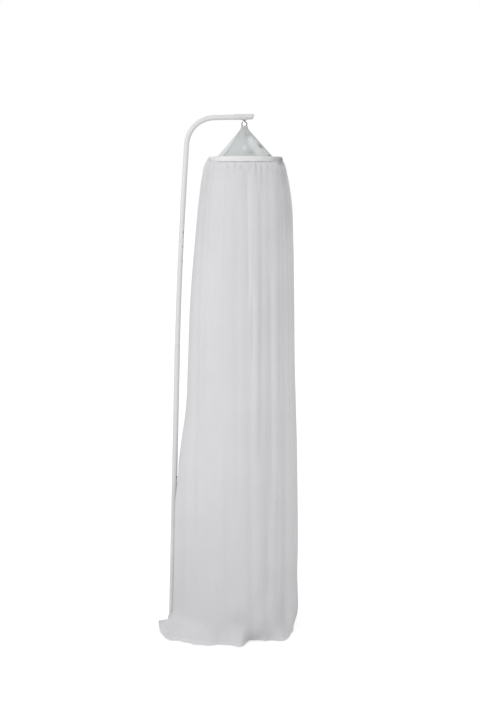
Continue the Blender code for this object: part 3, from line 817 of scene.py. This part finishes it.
def plateLift(points):
    # How far the plate holds the cloth off the floor, falling to nothing past a margin round it.
    halfLength = (plateHigh.x - plateLow.x) / 2
    pastX = np.abs(points[..., 0] - plateLow.x - halfLength) - halfLength + plate["corner"]
    pastY = np.abs(points[..., 1]) - plateHigh.y + plate["corner"]
    beyond = np.hypot(np.maximum(pastX, 0), np.maximum(pastY, 0)) - plate["corner"]
    lift = (plateHigh.z + plate["clearance"]) * ease(1 - (beyond - plate["margin"]) / plate["run"])
    return lift * (1 - np.minimum(points[..., 2] / plate["liftTop"], 1))


def makeSkirt(material):
    # One loop of net. It falls from the band to the ankle, then spreads over to the hem on the floor.
    turn = np.linspace(0, 360, skirt["columns"], endpoint=False)[None, :]
    top = skirt["sections"][0][0]
    ankle = skirt["sections"][-1][0]
    share = np.linspace(0, 1, skirt["fallRows"])
    fall = (top - (top - ankle) * (0.22 * share + 0.78 * share**2))[:, None]
    reach = sectionReach(turn, fall) - skirtFolds(turn, fall) - skirtGathers(turn, top - fall)
    reach = reach - softDents(turn, fall)
    rise = sum(lift * bell(turn, centre, width) for centre, width, lift in skirt["shoulders"])
    rise = rise * np.exp(-(((top - fall) / skirt["shoulderDrop"]) ** 2))
    height = fall + rise
    shoulder = rise / skirt["shoulderFull"]
    tucked = np.exp(-(((top - fall) / skirt["tuckDrop"]) ** 2)) * (1 - shoulder)
    over = (bandOuter + skirt["overBand"] - bandLean(turn, height - bandLow.z)) * ease(shoulder / 0.1)
    reach = np.maximum(reach - skirt["shoulderPull"] * shoulder, over) - skirt["tuck"] * tucked

    stations = np.arange(len(skirt["foot"]))
    at = np.linspace(0, len(stations) - 1, skirt["footRows"] + 1)[1:]
    footHeight = curveThrough(at, stations, [row[0] for row in skirt["foot"]])[:, None]
    hemShare = curveThrough(at, stations, [row[1] for row in skirt["foot"]])[:, None]
    ripple = np.cos(np.radians(turn * skirt["hemRipples"]) + 2 * np.cos(np.radians(turn * 5)))
    hem = aroundOutline(turn, skirt["hem"]) + skirt["hemRipple"] * ripple
    ankleReach = reach[-1:]
    footReach = ankleReach + (hem - ankleReach) * hemShare
    footReach = footReach - softDents(turn, footHeight) * (1 - hemShare)
    foot = onAxis(turn, footReach, footHeight + 0.6 * skirt["hemRipple"] * (1 + ripple) * hemShare)
    foot[..., 2] += plateLift(foot)
    raised = bell(turn, skirt["flapTurn"], skirt["flapWidth"]) * hemShare
    foot[..., 2] += np.maximum(skirt["flapHeight"] - foot[..., 2], 0) * raised
    points = np.concatenate((onAxis(turn, reach, height), foot))
    row = np.arange(len(points))
    above, below = skirt["softenRows"]
    soft = ease((row - skirt["fallRows"] + above) / above) * ease((len(points) - 2 - row) / below)
    soft = skirt["softenBy"] * soft[:, None, None]
    for _ in range(skirt["softening"]):
        beside = (np.roll(points, 1, axis=1) + np.roll(points, -1, axis=1)) / 2
        along = np.concatenate((points[:1], (points[:-2] + points[2:]) / 2, points[-1:]))
        points = points + soft * ((beside + along) / 2 - points)

    down = clothLength(points)
    hemmed = ease((down - down[-1] + skirt["hemWidth"]) / 0.001)
    crowded = np.exp(-down / skirt["crowdedDrop"])
    layers = 1 + skirt["hemLayers"] * hemmed + skirt["crowdedLayers"] * crowded
    # Painted shade: a dark line just under the band's edge and a darkening towards the floor, added to the
    # painted shade patches.
    seam = skirt["seamPaintedShade"] * np.exp(-down / skirt["seamWidth"])
    lowShade = skirt["lowShade"] * (0.4 * ease(down / 0.9 - 0.7) + 0.6 * ease(down / 0.3 - 4.3))
    paintedShading = patchwork(turn, down[:, None], skirt["paintedShades"]) + (seam + lowShade)[:, None]
    marks = {"layers": layers[:, None], "paintedShading": np.minimum(paintedShading, darkest)}
    piece = ringPiece("skirt_net", points, skirt["cut"][0], down, marks, material)
    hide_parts("skirt")
    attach(piece, "root")
    print("skirt made:", len(piece.data.polygons), "faces")


roof = {
    "columns": 360,
    "rows": 120,
    "tipPleats": 22,
    "pleatDepth": 0.0007,
    "pleatFade": 0.15,  # share of the slope over which the pleats die away
    "tipLayers": 1.2,  # layers that the pleats add at the tip
    "tipShare": 0.10,
    "thinning": 0.7,  # how far a light patch is also sheerer
    "sheerest": 0.4,
    # painted shade and painted light: direction, share of the slope, half width, half length, darker above
    # 0 and lighter below
    "paintedPatches": (
        (270, 0.40, 300, 9.00, 0.19),
        (270, 0.08, 80, 0.20, 0.12),
        (292, 0.20, 16, 0.06, 0.18),
        (221, 0.55, 4.0, 0.30, 0.50),
        (202, 0.52, 10, 0.28, -0.80),
        (342, 0.45, 8, 0.50, 0.50),
        (309, 0.38, 17, 0.13, -0.80),
        (328, 0.50, 6, 0.05, 0.60),
        (317, 0.67, 18, 0.085, -1.60),
        (287, 0.68, 10, 0.06, 0.34),
        (270, 0.56, 5, 0.06, -0.30),
        (330, 0.79, 22, 0.04, 0.60),
        (18, 0.45, 9, 0.30, -0.40),
        (46, 0.50, 4, 0.30, 0.20),
        (96, 0.30, 14, 0.16, -0.30),
        (128, 0.55, 4, 0.25, 0.20),
        (150, 0.60, 9, 0.20, -0.40),
    ),
    "cut": (0.40, 0.30),
    "cutArea": 0.075,
    # radius, height: up from the loop's neck to the frill at the tip, then down to the band
    "slope": (
        (0.0066, 1.7440),
        (0.0080, 1.7500),
        (0.0092, 1.7550),
        (0.0103, 1.7545),
        (0.0110, 1.7510),
        (0.0126, 1.7468),
        (0.0158, 1.7416),
        (0.0477, 1.7056),
        (0.0976, 1.6500),
        (0.1115, 1.6406),
        (0.1200, 1.6371),
    ),
    # direction at the tip, direction at the band, depth, half width
    "creases": (
        (18, 16, 0.004, 9),
        (62, 60, 0.005, 11),
        (104, 108, 0.004, 9),
        (146, 143, 0.005, 10),
        (181, 184, 0.003, 9),
        (222, 210, 0.007, 7),
        (248, 252, 0.002, 10),
        (284, 280, 0.003, 10),
        (316, 334, 0.007, 6),
        (345, 349, 0.004, 7),
    ),
}


def makeRoof(material):
    # A cone of net. Its radius and height follow the slope's table, less the creases and the tip's pleats.
    turn = np.linspace(0, 360, roof["columns"], endpoint=False)[None, :]
    stations = np.arange(len(roof["slope"]))
    at = np.linspace(0, len(stations) - 1, roof["rows"])[:, None]
    radius = curveThrough(at, stations, [row[0] for row in roof["slope"]])
    height = curveThrough(at, stations, [row[1] for row in roof["slope"]])
    tip = roof["slope"][3][0]
    rim = roof["slope"][-1][0]
    out = np.clip((radius - tip) / (rim - tip), 0, 1)
    crease = 0 * turn * out
    for tipTurn, bandTurn, deep, halfWidth in roof["creases"]:
        crease = crease + deep * bell(turn, tipTurn + (bandTurn - tipTurn) * out, halfWidth)
    pleats = roof["pleatDepth"] * np.cos(np.radians(turn * roof["tipPleats"]))
    pleats = pleats * np.exp(-out / roof["pleatFade"])
    reach = radius - np.sin(np.pi * out) * crease + pleats * ease(at)
    points = onAxis(turn, reach, height)
    points[..., 0] += (hookLow.x + hookHigh.x - 2 * canopyX) / 2 * (1 - out)
    down = clothLength(points)
    # Painted shade and painted light patches on the roof's colour; the lighter ones are also made sheerer.
    paintedShading = patchwork(turn, out, roof["paintedPatches"])
    layers = 1.0 + roof["tipLayers"] * np.exp(-out / roof["tipShare"])
    layers = np.maximum(layers + roof["thinning"] * np.minimum(paintedShading, 0), roof["sheerest"])
    marks = {"layers": layers, "paintedShading": np.clip(paintedShading, -darkest, darkest)}
    piece = ringPiece("roof_net", points, roof["cut"][0], down, marks, material)
    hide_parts("roof_panel")
    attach(piece, "root")
    print("roof made:", len(piece.data.polygons), "faces")


band = {
    "columns": 420,
    "rows": 44,
    "cut": (0.80, 0.044),
    "ripples": (31, 19, 47),  # waves round the hoop
    "rippleDepth": 0.0004,
    "rippleLift": 0.0002,
    "stitches": 140,
    "stitchUp": 0.0022,
    "stitchHalf": 0.0004,
    # painted shade: direction, height up the band, half width, half height, how dark
    "paintedShades": (
        (346, 0.008, 16, 0.018, 0.56),
        (324, 0.008, 14, 0.018, 0.24),
        (270, 0.000, 90, 0.0016, 0.16),
        (228, 0.0006, 1.2, 0.0016, 0.45),
    ),
    "leanTurn": 190,  # where the net pulls its upper edge in
    "leanWidth": 30,
    "lean": 0.0050,
    # out from the hoop's own circle, up from the band's lower edge
    "section": (
        (0.0031, 0.0006),
        (0.0035, 0.0030),
        (0.0036, 0.0090),
        (0.0035, 0.0150),
        (0.0023, 0.0176),
        (0.0000, 0.0186),
        (-0.0023, 0.0176),
        (-0.0035, 0.0150),
        (-0.0036, 0.0090),
        (-0.0033, 0.0040),
        (-0.0018, 0.0012),
    ),
}


def bandLean(turn, up):
    # How far the band's upper edge is pulled in, on one side only.
    return band["lean"] * bell(turn, band["leanTurn"], band["leanWidth"]) * ease((up - 0.006) / 0.012)


def makeBand(material):
    # A strip of cloth folded over the hoop: its section is carried round the hoop, with slow ripples.
    turn = np.linspace(0, 360, band["columns"], endpoint=False)[None, :]
    stations = np.arange(len(band["section"]))
    at = np.linspace(len(stations) - 1, 0, band["rows"])[:, None]
    out = curveThrough(at, stations, [row[0] for row in band["section"]])
    up = curveThrough(at, stations, [row[1] for row in band["section"]])
    draw = np.random.default_rng(3)
    ripple = 0 * turn
    for count in band["ripples"]:
        strength = draw.uniform(0.5, 1.0)
        ripple = ripple + strength * np.cos(np.radians(turn * count) + draw.uniform(0, 6.28))
    outside = ease((out + 0.001) / 0.003)
    depth = band["rippleDepth"] * outside * (0.4 + 0.6 * ease(1 - up / 0.012))
    reach = hoopMiddle + out + depth * ripple
    points = onAxis(turn, reach - bandLean(turn, up), bandLow.z + up + band["rippleLift"] * ripple)
    down = clothLength(points)
    dashes = 0.5 + 0.5 * np.cos(np.radians(turn * band["stitches"]))
    stitch = np.exp(-(((up - band["stitchUp"]) / band["stitchHalf"]) ** 2)) * dashes * outside
    # Painted shade at the band's right-hand end and along its lower edge at the front.
    paintedShading = patchwork(turn, up, band["paintedShades"])
    marks = {"stitch": stitch, "paintedShading": np.clip(paintedShading * outside, 0, darkest)}
    piece = ringPiece("hoop_cloth", points, band["cut"][0], down, marks, material)
    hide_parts("hoop_band")
    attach(piece, "root")
    print("band made:", len(piece.data.polygons), "faces")


loop = {
    "radius": 0.0012,
    "strand": 0.0002,
    "halfWidth": 0.0038,
    "along": 160,
    "around": 20,
    "twists": 16,
}


def makeLoop(material):
    # A long round loop of cord: a circle carried along it, with three strands wound round as ridges.
    low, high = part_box("hanging_loop")
    middleX = (low.x + high.x) / 2
    straight = (high.z - low.z) / 2 - loop["radius"] - loop["halfWidth"]
    share = np.linspace(0, 1, loop["along"], endpoint=False)
    perimeter = 2 * math.pi * loop["halfWidth"] + 4 * straight
    arc = math.pi * loop["halfWidth"]
    run = 2 * straight
    far = share * perimeter
    angle = np.clip(far / loop["halfWidth"], 0, math.pi)
    angle = angle + np.clip((far - arc - run) / loop["halfWidth"], 0, math.pi)
    shift = straight - np.clip(far - arc, 0, run) + np.clip(far - 2 * arc - run, 0, run)
    centreY = loop["halfWidth"] * np.cos(angle)
    centreZ = (low.z + high.z) / 2 + shift + loop["halfWidth"] * np.sin(angle)
    around = np.linspace(0, 2 * math.pi, loop["around"], endpoint=False)[None, :]
    twist = 2 * math.pi * loop["twists"] * share[:, None]
    thick = loop["radius"] + loop["strand"] * (np.cos(3 * around + twist) - 1)
    outward = thick * np.cos(around)
    points = np.stack((
        middleX + thick * np.sin(around),
        centreY[:, None] + outward * np.cos(angle)[:, None],
        centreZ[:, None] + outward * np.sin(angle)[:, None],
    ), axis=-1)
    down = clothLength(np.concatenate((points, points[:1])))
    girth = 2 * math.pi * loop["radius"]
    piece = ringPiece("hanging_cord", points, girth, down, {}, material, closed=True)
    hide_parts("hanging_loop")
    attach(piece, "root")
    print("loop made:", len(piece.data.polygons), "faces")


makeLoop(makeCordYarn())
makeBand(makeBandCloth())
makeRoof(makeNet("roofNet", net["roofColour"], net["roofShade"]))
makeSkirt(makeNet("skirtNet", net["colour"], net["shade"]))
